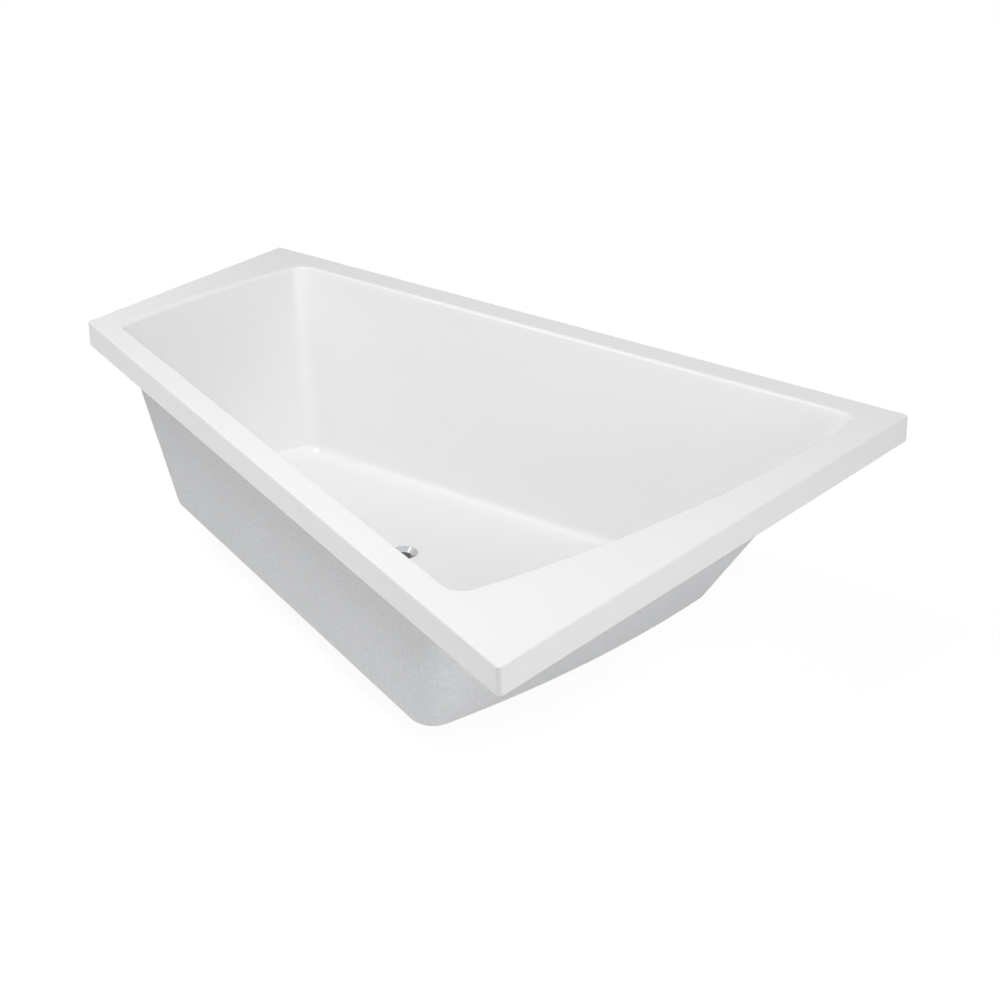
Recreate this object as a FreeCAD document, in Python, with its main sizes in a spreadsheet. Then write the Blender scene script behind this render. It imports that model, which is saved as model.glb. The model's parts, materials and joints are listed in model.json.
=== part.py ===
import FreeCAD, Part
import math
import os
import re
import Sketcher

# A built-in acrylic bathtub for a corner: a right-angled trapezoid in plan, with a drawn
# white shell, a sprayed glass fibre coat, a base board on two steel rails with four
# screw feet, a waste with a push plug, a trap and an overflow.
# Millimetres. X runs along the straight back wall, from the narrow end to the wide end,
# Y runs from the slanted front to the back wall, Z is up, and the floor is at zero.

os.makedirs("parts", exist_ok=True)
doc = FreeCAD.newDocument("corner_bathtub")
Vector = FreeCAD.Vector

# Driving sizes, one sheet cell each
SIZES = {
    # Whole tub
    "tub_length": 1800, "tub_width": 1400, "narrow_width": 656,
    "foot_height": 120, "shell_height": 480, "overrun": 5,
    # Rim and basin of the acrylic shell. A land is the rim's flat width to the opening,
    # and a floor land is the same distance measured down at the basin floor.
    "acrylic": 5, "skirt_height": 57.5, "rim_corner_radius": 9, "rim_edge_radius": 4,
    "lip_radius": 9, "floor_rise": 29, "corner_radius": 45, "floor_radius": 30,
    "back_land": 68, "back_floor_land": 144,
    "front_land_narrow": 56, "front_land_wide": 70, "front_floor_land": 170,
    "wide_land": 76, "wide_floor_land": 381, "wide_radius": 3200, "wide_centre_drop": 225,
    # The narrow end's bow is placed by where it would meet the back edge.
    "narrow_back_land": 157.4, "narrow_floor_back_land": 305.4, "narrow_radius": 1900,
    "narrow_centre_drop": 540, "narrow_floor_centre_drop": 934,
    # Glass fibre coat, base board and rim battens
    "bond_gap": 0.3, "glass_fibre": 4, "base_edge_radius": 8,
    "coat_hole_radius": 50, "board_thickness": 18, "board_inset": 70, "board_corner_radius": 40,
    "board_hole_radius": 60, "batten_width": 30, "batten_height": 20, "batten_margin": 10,
    "batten_end_gap": 60,
    # Waste, measured down from the basin floor
    "drain_from_end": 771, "drain_from_back": 452,
    "flange_radius": 35, "flange_sheet": 2, "flange_neck": 1, "seat_seal": 1, "seat_gap": 0.5,
    "seat_boss_radius": 45, "seat_boss_depth": 13, "seat_step": 2,
    "dish_radius": 32.5, "dish_depth": 7.5, "throat_radius": 19.5, "throat_depth": 12,
    "waterway_radius": 17, "ledge": 2, "spigot_radius": 23.9, "spigot_wall": 2.9,
    "spigot_depth": 40, "drain_hole_radius": 25, "hub_radius": 9, "hub_depth": 20,
    "hub_height": 8, "arm_width": 4, "waste_seal": 2, "waste_seal_outer_radius": 38,
    "waste_lip_radius": 40, "waste_lip": 3, "thread_gap": 0.3, "waste_wall": 4.8,
    "waste_bottom": 3, "pipe_depth": 60, "pipe_radius": 20, "pipe_wall": 2, "pipe_stub": 30,
    "hose_radius": 9, "hose_wall": 2, "hose_depth": 46, "hose_stub": 22,
    "collar": 0.8, "collar_length": 2,
    # Push plug
    "plug_gap": 0.3, "plug_head": 2.7, "plug_boss_radius": 12, "plug_boss": 3.8,
    "plug_seal": 1.5, "plug_seal_inset": 0.4, "stem_radius": 3, "stem_length": 32,
    "stem_socket": 3, "stem_gap": 0.05, "cartridge_radius": 7, "cartridge_length": 26,
    "cartridge_flange": 2, "cartridge_flange_radius": 8.8, "cartridge_bottom": 2,
    # Trap, beside the waste on the back wall's side
    "trap_offset": 140, "trap_radius": 45, "trap_wall": 3, "trap_top": 34,
    "trap_skirt_depth": 94, "dip_depth": 118, "trap_seal": 2, "trap_depth": 136,
    "trap_cup_wall": 3.5, "trap_cup_overlap": 9, "trap_stub": 50, "trap_outlet_fall": 3,
    "union_radius": 27, "union_length": 30, "gasket": 2,
    # Overflow, on the slanted front wall
    "overflow_station": 980, "overflow_drop": 60, "overflow_hole_radius": 26,
    "overflow_cover_radius": 35, "overflow_cover_height": 9, "overflow_cover_sheet": 1.5,
    "overflow_cover_bevel": 4, "overflow_slot_width": 34, "overflow_slot_height": 5,
    "overflow_seal": 2, "overflow_body_radius": 33, "overflow_body_depth": 20,
    "overflow_body_wall": 2.5, "overflow_screw_radius": 3, "overflow_head_radius": 6,
    "overflow_head": 2.5, "overflow_boss_radius": 6, "overflow_stub": 15,
    # Rails and feet
    "rail_from_narrow_end": 360, "rail_from_wide_end": 640, "rail_back_gap": 190,
    "rail_front_gap": 330, "rail_width": 40, "rail_height": 38,
    "rail_sheet": 2, "rail_lip": 18, "rail_screw_radius": 2.1, "rail_screw_length": 16,
    "rail_screw_head_radius": 4.2, "rail_screw_head": 2.6, "rail_screw_inset": 60,
    "foot_inset": 32, "rod_radius": 6, "rod_clearance": 0.5, "rod_top_gap": 4,
    "nut_gap": 0.05, "nut_across_flats": 19, "weld_nut_height": 12, "lock_nut_height": 7,
    "pad_radius": 25, "pad_height": 14, "pad_rim": 5, "pad_top_radius": 12,
    "pad_socket_depth": 8,
}

# Places that several pieces share, worked out from the driving sizes
FORMULAS = {
    "rim_top": "(foot_height + shell_height)",
    "rim_under": "(rim_top - acrylic)",
    "basin_depth": "(shell_height - floor_rise)",
    "floor_level": "(rim_top - basin_depth)",
    "skirt_foot": "(rim_top - skirt_height)",
    "back_edge": "(tub_width / 2)",
    "end_edge": "(tub_length / 2)",
    "narrow_corner": "(tub_width / 2 - narrow_width)",
    "slant": "((tub_width - narrow_width) / tub_length)",
    "slant_secant": "sqrt(1 + slant * slant)",
    "coat_inside": "(acrylic + bond_gap)",
    "coat_outside": "(acrylic + bond_gap + glass_fibre)",
    "coat_top": "(rim_under - bond_gap)",
    "coat_floor": "(floor_level - acrylic - bond_gap)",
    "drain_x": "(drain_from_end - tub_length / 2)",
    "drain_y": "(tub_width / 2 - drain_from_back)",
    "seat_slope": "((dish_depth + flange_neck - flange_sheet)"
                  " / (flange_radius - seat_step - spigot_radius))",
    "waste_top": "(seat_boss_depth + waste_seal)",
    "spigot_inner_radius": "(spigot_radius - spigot_wall)",
    "waste_inner_radius": "(spigot_radius + thread_gap)",
    "waste_radius": "(waste_inner_radius + waste_wall)",
    "waste_depth": "(pipe_depth + pipe_radius + waste_bottom)",
    "plug_radius": "(throat_radius - plug_gap)",
    "plug_under": "(dish_depth + plug_head)",
    "stem_top": "(plug_under + plug_boss - stem_socket)",
    "cartridge_top": "(hub_depth - cartridge_flange)",
    "pipe_bore": "(pipe_radius - pipe_wall)",
    "hose_bore": "(hose_radius - hose_wall)",
    "waste_pipe_end": "(waste_radius + pipe_stub)",
    "trap_inner_radius": "(trap_radius - trap_wall)",
    "dip_radius": "(pipe_radius + pipe_wall)",
    "trap_cup_inner_radius": "(trap_radius + thread_gap)",
    "front_draft": "((front_floor_land - (front_land_narrow + front_land_wide) / 2)"
                   " / basin_depth)",
    "front_cosine": "(1 / sqrt(1 + front_draft * front_draft))",
    "overflow_seat": "(coat_outside * front_cosine + bond_gap)",
    "overflow_body_top": "(overflow_seat + overflow_seal)",
    "rail_bottom": "(foot_height - rail_height)",
    "rail_half": "(rail_width / 2)",
    "rail_lip_middle": "(rail_width / 2 + rail_lip / 2)",
    "rail_start": "(back_edge - rail_back_gap)",
    "nut_corner_radius": "(nut_across_flats / sqrt(3))",
}

sheet = doc.addObject("Spreadsheet::Sheet", "Sizes")
for row, (alias, amount) in enumerate(SIZES.items(), 1):
    sheet.set(f"A{row}", alias)
    sheet.set(f"B{row}", str(amount))
    sheet.setAlias(f"B{row}", alias)
doc.recompute()


def cells(text):
    """Turn a formula in plain size names into one that points at the sheet's cells."""
    def cell(match):
        word = match.group(0)
        if word in FORMULAS:
            return cells(FORMULAS[word])
        return f"Sizes.{word}" if word in SIZES else word
    return re.sub(r"[a-z]+(?:_[a-z]+)*", cell, text)


def size(text):
    """Value of a formula, in millimetres."""
    return float(sheet.evalExpression(cells(text)))


def bind(item, **formulas):
    """Bind an object's properties to formulas of the sheet's sizes."""
    for name, text in formulas.items():
        item.setExpression(name, cells(text))
    return item


def place(item, x="0", y="0", z="0"):
    """Bind an object's position."""
    for axis, text in (("x", x), ("y", y), ("z", z)):
        item.setExpression(f"Placement.Base.{axis}", cells(text))
    return item


def body(name):
    return doc.addObject("PartDesign::Body", name)


def sketch(owner, name, role="XY_Plane", lift=None):
    """Sketch on one of the body's own planes, raised by a formula."""
    plane = next(item for item in owner.Origin.OriginFeatures if item.Role == role)
    drawing = owner.newObject("Sketcher::SketchObject", name)
    drawing.AttachmentSupport = (plane, [""])
    drawing.MapMode = "FlatFace"
    if lift is not None:
        drawing.setExpression("AttachmentOffset.Base.z", cells(lift))
    drawing.Visibility = False
    return drawing


def dimension(drawing, kind, geometry, point, text, name):
    """Distance of a point from the sketch's origin along one axis, bound to a formula."""
    index = drawing.addConstraint(
        Sketcher.Constraint(kind, -1, 1, geometry, point, size(text)))
    drawing.renameConstraint(index, name)
    drawing.setExpression(f"Constraints.{name}", cells(text))


def polygon(drawing, points):
    """Closed outline through points given as pairs of formulas."""
    spots = [Vector(size(x), size(y), 0) for x, y in points]
    for here, there in zip(spots, spots[1:] + spots[:1]):
        drawing.addGeometry(Part.LineSegment(here, there), False)
    for index in range(len(points)):
        after = (index + 1) % len(points)
        drawing.addConstraint(Sketcher.Constraint("Coincident", index, 2, after, 1))
    for index, (x, y) in enumerate(points):
        dimension(drawing, "DistanceX", index, 1, x, f"across_{index}")
        dimension(drawing, "DistanceY", index, 1, y, f"along_{index}")
    return drawing


def turned(name, points):
    """Body turned about Z from an outline of radius and height pairs."""
    owner = body(name)
    profile = polygon(sketch(owner, f"{name}_profile", "XZ_Plane"), points)
    feature = owner.newObject("PartDesign::Revolution", f"{name}_turn")
    feature.Profile = profile
    feature.ReferenceAxis = (profile, ["V_Axis"])
    feature.Angle = 360
    owner.Tip = feature
    return owner


def fillet(owner, name, chosen, radius):
    """Round the edges of the body's tip that a test picks."""
    doc.recompute()
    base = owner.Tip
    names = [f"Edge{number}" for number, edge in enumerate(base.Shape.Edges, 1) if chosen(edge)]
    feature = owner.newObject("PartDesign::Fillet", name)
    feature.Base = (base, names)
    bind(feature, Radius=radius)
    owner.Tip = feature
    return feature


def cylinder(name, radius, low, high):
    """Upright cylinder about the origin between two heights."""
    item = doc.addObject("Part::Cylinder", name)
    bind(item, Radius=radius, Height=f"({high}) - ({low})")
    return place(item, z=low)


def pipe(name, radius, start, finish, depth):
    """Level cylinder along Y, its axis at a depth below the origin."""
    item = doc.addObject("Part::Cylinder", name)
    bind(item, Radius=radius, Height=f"({finish}) - ({start})")
    item.Placement = FreeCAD.Placement(Vector(), FreeCAD.Rotation(Vector(1, 0, 0), -90))
    return place(item, y=start, z=f"-({depth})")


def cut(name, base, tool):
    item = doc.addObject("Part::Cut", name)
    item.Base = base
    item.Tool = tool
    return item


def fuse(name, items):
    item = doc.addObject("Part::MultiFuse", name)
    item.Shapes = items
    item.Refine = True
    return item


def ring(name, inner, outer, low, high):
    """Flat ring or sleeve about Z."""
    bore = cylinder(f"{name}_bore", inner, f"({low}) - overrun", f"({high}) + overrun")
    return cut(name, cylinder(f"{name}_disc", outer, low, high), bore)


def hexagon(name, low, high, bore):
    """Hexagon nut blank with a plain bore."""
    prism = doc.addObject("Part::Prism", f"{name}_prism")
    prism.Polygon = 6
    bind(prism, Circumradius="nut_corner_radius", Height=f"({high}) - ({low})")
    place(prism, z=low)
    hole = cylinder(f"{name}_hole", bore, f"({low}) - overrun", f"({high}) + overrun")
    return cut(name, prism, hole)


def group(name, items):
    item = doc.addObject("Part::Compound", name)
    item.Links = items
    return item


# Basin sections


def at_level(top, floor, level):
    """Formula of a size that changes evenly from the rim to the basin floor."""
    return f"(({top}) + (({floor}) - ({top})) * (rim_top - ({level})) / basin_depth)"


def circle_meets_line(centre, radius, start, direction, side):
    """Point where a line leaves a circle, on the given side."""
    offset = start - centre
    half = offset.dot(direction)
    reach = math.sqrt(half * half - offset.dot(offset) + radius * radius)
    return start + direction * (side * reach - half)


def basin_section(owner, name, level, spread):
    """Basin outline at a level, moved outwards by a wall.

    Two straight sides, back and slanted front, and two bowed ends.
    """
    drawing = sketch(owner, name, "XY_Plane", level)
    back = f"back_edge - {at_level('back_land', 'back_floor_land', level)} + ({spread})"
    front_narrow = f"{at_level('front_land_narrow', 'front_floor_land', level)} - ({spread})"
    front_wide = f"{at_level('front_land_wide', 'front_floor_land', level)} - ({spread})"
    wide_centre_x = "end_edge - wide_land - wide_radius"
    wide_centre_y = "back_edge - wide_centre_drop"
    wide_radius = (f"wide_radius + wide_land - {at_level('wide_land', 'wide_floor_land', level)}"
                   f" + ({spread})")
    drop = at_level("narrow_centre_drop", "narrow_floor_centre_drop", level)
    narrow_centre_x = (f"{at_level('narrow_back_land', 'narrow_floor_back_land', level)}"
                       f" - end_edge + sqrt(narrow_radius ^ 2 - {drop} ^ 2)")
    narrow_centre_y = f"back_edge - {drop}"
    narrow_radius = f"narrow_radius + ({spread})"

    slope = size("slant")
    along = Vector(1, -slope, 0).normalize()
    inward = Vector(slope, 1, 0).normalize()
    corner_narrow = Vector(-size("end_edge"), size("narrow_corner"), 0)
    corner_wide = Vector(size("end_edge"), -size("back_edge"), 0)
    wide_centre = Vector(size(wide_centre_x), size(wide_centre_y), 0)
    narrow_centre = Vector(size(narrow_centre_x), size(narrow_centre_y), 0)
    back_start = Vector(0, size(back), 0)
    back_way = Vector(1, 0, 0)
    back_narrow = circle_meets_line(narrow_centre, size(narrow_radius), back_start, back_way, -1)
    back_wide = circle_meets_line(wide_centre, size(wide_radius), back_start, back_way, 1)
    front_start = corner_narrow + inward * size(front_narrow)
    front_finish = corner_wide + inward * size(front_wide)
    front_narrow_end = circle_meets_line(
        narrow_centre, size(narrow_radius), front_start, along, -1)
    front_wide_end = circle_meets_line(wide_centre, size(wide_radius), front_finish, along, 1)

    def bow(centre, start, finish):
        """Arc about a centre, counter-clockwise as the sketcher wants it."""
        first, last = (math.atan2(spot.y - centre.y, spot.x - centre.x) for spot in (start, finish))
        circle = Part.Circle(centre, Vector(0, 0, 1), centre.distanceToPoint(start))
        return Part.ArcOfCircle(circle, first, last + (2 * math.pi if last < first else 0))

    for item, guide in ((Part.LineSegment(back_narrow, back_wide), False),
                        (bow(wide_centre, front_wide_end, back_wide), False),
                        (Part.LineSegment(front_wide_end, front_narrow_end), False),
                        (bow(narrow_centre, back_narrow, front_narrow_end), False),
                        (Part.LineSegment(corner_narrow, corner_wide), True)):
        drawing.addGeometry(item, guide)
    for first, first_end, second, second_end in (
            (0, 2, 1, 2), (1, 1, 2, 1), (2, 2, 3, 2), (3, 1, 0, 1)):
        drawing.addConstraint(
            Sketcher.Constraint("Coincident", first, first_end, second, second_end))
    drawing.addConstraint(Sketcher.Constraint("Horizontal", 0))
    dimension(drawing, "DistanceY", 0, 1, back, "back_wall")
    dimension(drawing, "DistanceX", 1, 3, wide_centre_x, "wide_centre_across")
    dimension(drawing, "DistanceY", 1, 3, wide_centre_y, "wide_centre_along")
    dimension(drawing, "DistanceX", 3, 3, narrow_centre_x, "narrow_centre_across")
    dimension(drawing, "DistanceY", 3, 3, narrow_centre_y, "narrow_centre_along")
    dimension(drawing, "DistanceX", 4, 1, "-end_edge", "slant_start_across")
    dimension(drawing, "DistanceY", 4, 1, "narrow_corner", "slant_start_along")
    dimension(drawing, "DistanceX", 4, 2, "end_edge", "slant_finish_across")
    dimension(drawing, "DistanceY", 4, 2, "-back_edge", "slant_finish_along")
    for geometry, text, label in ((1, wide_radius, "wide_bow"), (3, narrow_radius, "narrow_bow")):
        index = drawing.addConstraint(Sketcher.Constraint("Radius", geometry, size(text)))
        drawing.renameConstraint(index, label)
        drawing.setExpression(f"Constraints.{label}", cells(text))
    for end, text, label in ((2, front_narrow, "front_narrow"), (1, front_wide, "front_wide")):
        index = drawing.addConstraint(Sketcher.Constraint("Distance", 2, end, 4, size(text)))
        drawing.renameConstraint(index, label)
        drawing.setExpression(f"Constraints.{label}", cells(text))
    return drawing


def basin_form(name, spread, top, bottom, corner, base):
    """Solid of the basin's form between two levels, its upright and base edges rounded."""
    owner = body(name)
    upper = basin_section(owner, f"{name}_upper", top, spread)
    lower = basin_section(owner, f"{name}_lower", bottom, spread)
    loft = owner.newObject("PartDesign::AdditiveLoft", f"{name}_loft")
    loft.Profile = upper
    loft.Sections = [lower]
    loft.Ruled = True
    owner.Tip = loft
    middle = (size(top) + size(bottom)) / 2

    def upright(edge):
        heights = sorted(vertex.Z for vertex in edge.Vertexes)
        return heights[0] < middle < heights[-1]

    def low(edge):
        return all(vertex.Z < middle for vertex in edge.Vertexes)

    fillet(owner, f"{name}_corners", upright, corner)
    fillet(owner, f"{name}_base", low, base)
    return owner


def outer_corners(inset):
    """Corners of the rim's trapezoid, moved in by a wall."""
    return [
        (f"({inset}) - end_edge", f"back_edge - ({inset})"),
        (f"end_edge - ({inset})", f"back_edge - ({inset})"),
        (f"end_edge - ({inset})", f"({inset}) * (slant + slant_secant) - back_edge"),
        (f"({inset}) - end_edge", f"narrow_corner + ({inset}) * (slant_secant - slant)"),
    ]


def rim_form():
    """Flat rim with its skirt turned down all round."""
    owner = body("rim_form")
    pad = owner.newObject("PartDesign::Pad", "rim_slab")
    pad.Profile = polygon(sketch(owner, "rim_outline", "XY_Plane", "skirt_foot"), outer_corners("0"))
    bind(pad, Length="skirt_height")
    owner.Tip = pad
    middle = size("rim_top - skirt_height / 2")
    fillet(owner, "rim_corners",
           lambda edge: min(v.Z for v in edge.Vertexes) < middle < max(v.Z for v in edge.Vertexes),
           "rim_corner_radius")
    fillet(owner, "rim_edge", lambda edge: min(v.Z for v in edge.Vertexes) > middle,
           "rim_edge_radius")
    hollow = body("rim_hollow")
    under = hollow.newObject("PartDesign::Pad", "rim_hollow_pad")
    under.Profile = polygon(
        sketch(hollow, "rim_hollow_outline", "XY_Plane", "skirt_foot - overrun"),
        outer_corners("acrylic"))
    bind(under, Length="skirt_height + overrun - acrylic")
    hollow.Tip = under
    return cut("rim_sheet", owner, hollow)


def overflow_frame(form):
    """Placement on the slanted wall: origin on the inner face, Z into the basin, Y up the wall."""
    share = size("overflow_station") / (size("tub_length") * size("slant_secant"))
    corner_narrow = Vector(-size("end_edge"), size("narrow_corner"), 0)
    corner_wide = Vector(size("end_edge"), -size("back_edge"), 0)
    inward = Vector(size("slant"), 1, 0).normalize()
    land = size("(front_land_narrow + front_land_wide) / 2 + front_draft * overflow_drop")
    spot = corner_narrow + (corner_wide - corner_narrow) * share + inward * (land - size("acrylic"))
    spot.z = size("rim_top - overflow_drop")
    nearest = form.Shape.distToShape(Part.Vertex(spot))[1][0][0]
    inward = (nearest - spot).normalize()
    upward = (Vector(0, 0, 1) - inward * inward.z).normalize()
    return FreeCAD.Placement(
        nearest, FreeCAD.Rotation(upward.cross(inward), upward, inward, "ZXY"))


# Tub shell, coat, board and battens
cavity = basin_form("basin_cavity", "0", "rim_top + overrun", "floor_level",
                    "corner_radius", "floor_radius")
shell_outside = basin_form("basin_outside", "acrylic", "rim_top - acrylic / 2",
                           "floor_level - acrylic", "corner_radius + acrylic",
                           "floor_radius + acrylic")
doc.recompute()
wall_frame = overflow_frame(cavity)


def wall_drill(name):
    """Drill for the overflow, through the slanted wall."""
    drill = doc.addObject("Part::Cylinder", name)
    bind(drill, Radius="overflow_hole_radius", Height="coat_outside * 6")
    drill.Placement = wall_frame.multiply(
        FreeCAD.Placement(Vector(0, 0, -size("coat_outside * 3")), FreeCAD.Rotation()))
    return drill


def at_drain(item, y="0"):
    """Move a piece drawn about the waste's axis, its zero height the basin floor."""
    return place(item, "drain_x", f"drain_y + ({y})", "floor_level")


def drain_drill(name, radius, low, high):
    """Upright cylinder at the drain, between two heights above the basin floor."""
    return place(cylinder(name, radius, low, high),
                 "drain_x", "drain_y", f"floor_level + ({low})")


seat_boss = drain_drill("seat_boss", "seat_boss_radius", "-seat_boss_depth", "-acrylic / 2")
shell_blank = fuse("shell_blank", [rim_form(), shell_outside, seat_boss])
basin_cut = cut("basin_cut", shell_blank, cavity)
seat_tool = at_drain(turned("seat_tool", [
    ("0", "overrun"),
    ("flange_radius + seat_gap", "overrun"),
    ("flange_radius + seat_gap", "-flange_sheet - seat_seal"),
    ("flange_radius - seat_step", "-flange_sheet - seat_seal"),
    ("drain_hole_radius", "-flange_sheet - seat_seal"
     " - seat_slope * (flange_radius - seat_step - drain_hole_radius)"),
    ("drain_hole_radius", "-seat_boss_depth - overrun"),
    ("0", "-seat_boss_depth - overrun"),
]))
drain_cut = cut("drain_cut", basin_cut, seat_tool)
overflow_cut = cut("overflow_cut", drain_cut, wall_drill("shell_overflow_drill"))
doc.recompute()


def on_lip(edge):
    """Edges where the rim's top meets the basin."""
    box = edge.BoundBox
    inside = (box.XMin > size("narrow_back_land / 4 - end_edge")
              and box.XMax < size("end_edge - wide_land / 2")
              and box.YMax < size("back_edge - back_land / 2"))
    level = size("rim_top - rim_edge_radius / 2")
    if not inside or min(vertex.Z for vertex in edge.Vertexes) < level:
        return False
    middle = edge.valueAt((edge.FirstParameter + edge.LastParameter) / 2)
    from_front = middle.y - size("narrow_corner") + size("slant") * (middle.x + size("end_edge"))
    return from_front > size("front_land_narrow / 2")


tub_shell = doc.addObject("Part::Fillet", "tub_shell")
tub_shell.Base = overflow_cut
tub_shell.Edges = [(number, size("lip_radius"), size("lip_radius"))
                   for number, edge in enumerate(overflow_cut.Shape.Edges, 1) if on_lip(edge)]

coat_outside = basin_form("coat_outside", "coat_outside", "coat_top", "foot_height",
                          "corner_radius + coat_outside", "base_edge_radius")
coat_inside = basin_form("coat_inside", "coat_inside", "rim_top", "coat_floor",
                         "corner_radius + coat_inside", "floor_radius + coat_inside")


def board_form(name, spread, corner, height):
    """Flat plate of the base's outline, its upright edges rounded."""
    owner = body(name)
    pad = owner.newObject("PartDesign::Pad", f"{name}_pad")
    pad.Profile = basin_section(owner, f"{name}_outline", "foot_height", spread)
    bind(pad, Length=height)
    owner.Tip = pad
    fillet(owner, f"{name}_corners",
           lambda edge: abs(edge.Vertexes[0].Z - edge.Vertexes[-1].Z) > edge.Length / 2, corner)
    return owner


recess = board_form("board_recess", "coat_outside - board_inset + bond_gap",
                    "board_corner_radius + bond_gap", "board_thickness + bond_gap")
coat_walls = cut("coat_walls", coat_outside, coat_inside)
coat_recessed = cut("coat_recessed", coat_walls, recess)
coat_drilled = cut("coat_drilled", coat_recessed, drain_drill(
    "coat_drain_hole", "coat_hole_radius", "foot_height - floor_level - overrun", "overrun"))
reinforcement_shell = cut("reinforcement_shell", coat_drilled, wall_drill("coat_overflow_drill"))



def rail_run(from_narrow_end):
    """Place of a rail along the tub, and its length to a named gap from the slanted front."""
    front = f"narrow_corner - slant * ({from_narrow_end})"
    return f"({from_narrow_end}) - end_edge", f"(rail_start - rail_front_gap - ({front}))"


RAILS = {
    "narrow": rail_run("rail_from_narrow_end"),
    "wide": rail_run("tub_length - rail_from_wide_end"),
}
SCREW_SPOTS = [
    (f"{rail_x} + ({side}) * rail_lip_middle", f"rail_start - ({along})")
    for rail_x, rail_length in RAILS.values()
    for side in (-1, 1)
    for along in ("rail_screw_inset", f"{rail_length} - rail_screw_inset")
]

board_blank = board_form("board_blank", "coat_outside - board_inset",
                         "board_corner_radius", "board_thickness")
pilots = group("pilot_holes", [
    place(cylinder(f"pilot_{number}", "rail_screw_radius + nut_gap", "0", "rail_screw_length"),
          x, y, "foot_height - rail_sheet") for number, (x, y) in enumerate(SCREW_SPOTS, 1)])
board_drilled = cut("board_drilled", board_blank, drain_drill(
    "board_drain_hole", "board_hole_radius", "foot_height - floor_level - overrun", "overrun"))
base_board = cut("base_board", board_drilled, pilots)


def batten(name, length, x, y, turn=0.0):
    """Wooden batten glued under the rim."""
    item = doc.addObject("Part::Box", name)
    bind(item, Length=length, Width="batten_width", Height="batten_height")
    item.Placement = FreeCAD.Placement(Vector(), FreeCAD.Rotation(Vector(0, 0, 1), turn))
    return place(item, x, y, "rim_under - bond_gap - batten_height")


batten_back = batten("batten_back", "tub_length - 2 * batten_end_gap",
                     "batten_end_gap - end_edge", "back_edge - batten_margin - batten_width")
batten_front = batten(
    "batten_front", "tub_length * slant_secant - 2 * batten_end_gap",
    "(batten_end_gap + slant * batten_margin) / slant_secant - end_edge",
    "narrow_corner + (batten_margin - slant * batten_end_gap) / slant_secant",
    -math.degrees(math.atan(size("slant"))))
batten_narrow = batten(
    "batten_narrow",
    "narrow_width - batten_end_gap - 2 * batten_margin - batten_width",
    "batten_margin + batten_width - end_edge", "narrow_corner + batten_end_gap", 90)
batten_wide = batten(
    "batten_wide",
    "tub_width - batten_end_gap - 3 * batten_margin - batten_width",
    "end_edge - batten_margin", "batten_margin + batten_end_gap - back_edge", 90)

# Waste: a dished flange with a spider, screwed into the body under the shell
flange_turned = turned("flange_turned", [
    ("dish_radius", "0"),
    ("flange_radius", "0"),
    ("flange_radius", "-flange_sheet"),
    ("flange_radius - seat_step", "-flange_sheet"),
    ("spigot_radius", "-dish_depth - flange_neck"),
    ("spigot_radius", "-spigot_depth"),
    ("spigot_inner_radius", "-spigot_depth"),
    ("spigot_inner_radius", "-throat_depth - ledge - (spigot_inner_radius - waterway_radius)"),
    ("waterway_radius", "-throat_depth - ledge"),
    ("waterway_radius", "-throat_depth"),
    ("throat_radius", "-throat_depth"),
    ("throat_radius", "-dish_depth"),
])
arms = []
arm_count = 3
for number in range(arm_count):
    arm = doc.addObject("Part::Box", f"spider_arm_{number + 1}")
    bind(arm, Length="spigot_inner_radius + spigot_wall / 2", Width="arm_width",
         Height="hub_height")
    turn = FreeCAD.Rotation(Vector(0, 0, 1), number * 360 / arm_count)
    corner = turn.multVec(Vector(0, -size("arm_width / 2"), -size("hub_depth + hub_height")))
    arm.Placement = FreeCAD.Placement(corner, turn)
    arms.append(arm)
hub = cylinder("spider_hub", "hub_radius", "-hub_depth - hub_height", "-hub_depth")
flange_spider = fuse("flange_spider", [flange_turned, hub] + arms)
waste_flange = at_drain(cut("waste_flange", flange_spider, cylinder(
    "spider_bore", "cartridge_radius + nut_gap", "-hub_depth - hub_height - overrun",
    "overrun - hub_depth")))
seat_seal = at_drain(turned("seat_seal", [
    ("flange_radius - seat_gap", "-flange_sheet"),
    ("flange_radius - seat_gap", "-flange_sheet - seat_seal"),
    ("flange_radius - seat_step", "-flange_sheet - seat_seal"),
    ("drain_hole_radius + seat_gap", "-flange_sheet - seat_seal"
     " - seat_slope * (flange_radius - seat_step - drain_hole_radius - seat_gap)"),
    ("drain_hole_radius + seat_gap", "-flange_sheet"
     " - seat_slope * (flange_radius - seat_step - drain_hole_radius - seat_gap)"),
    ("flange_radius - seat_step", "-flange_sheet"),
]))
waste_seal = at_drain(ring("waste_seal", "drain_hole_radius + seat_gap",
                           "waste_seal_outer_radius", "-waste_top", "-seat_boss_depth"))
waste_outside = turned("waste_outside", [
    ("0", "-waste_top"),
    ("waste_lip_radius", "-waste_top"),
    ("waste_lip_radius", "-waste_top - waste_lip"),
    ("waste_radius", "-waste_top - waste_lip"),
    ("waste_radius", "-waste_depth"),
    ("0", "-waste_depth"),
])
waste_solid = fuse("waste_solid", [
    waste_outside,
    pipe("waste_pipe", "pipe_radius", "0", "waste_pipe_end", "pipe_depth"),
    pipe("waste_hose_spigot", "hose_radius", "-waste_radius - hose_stub", "0", "hose_depth"),
    pipe("waste_hose_collar", "hose_radius + collar", "-waste_radius - collar_length", "0",
         "hose_depth"),
])
waste_hollow = fuse("waste_hollow", [
    cylinder("waste_chamber", "waste_inner_radius", "waste_bottom - waste_depth", "overrun - waste_top"),
    pipe("waste_pipe_bore", "pipe_bore", "0", "waste_pipe_end + overrun", "pipe_depth"),
    pipe("waste_hose_bore", "hose_bore", "-waste_radius - hose_stub - overrun", "0", "hose_depth"),
])
waste_body = at_drain(cut("waste_body", waste_solid, waste_hollow))

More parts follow.
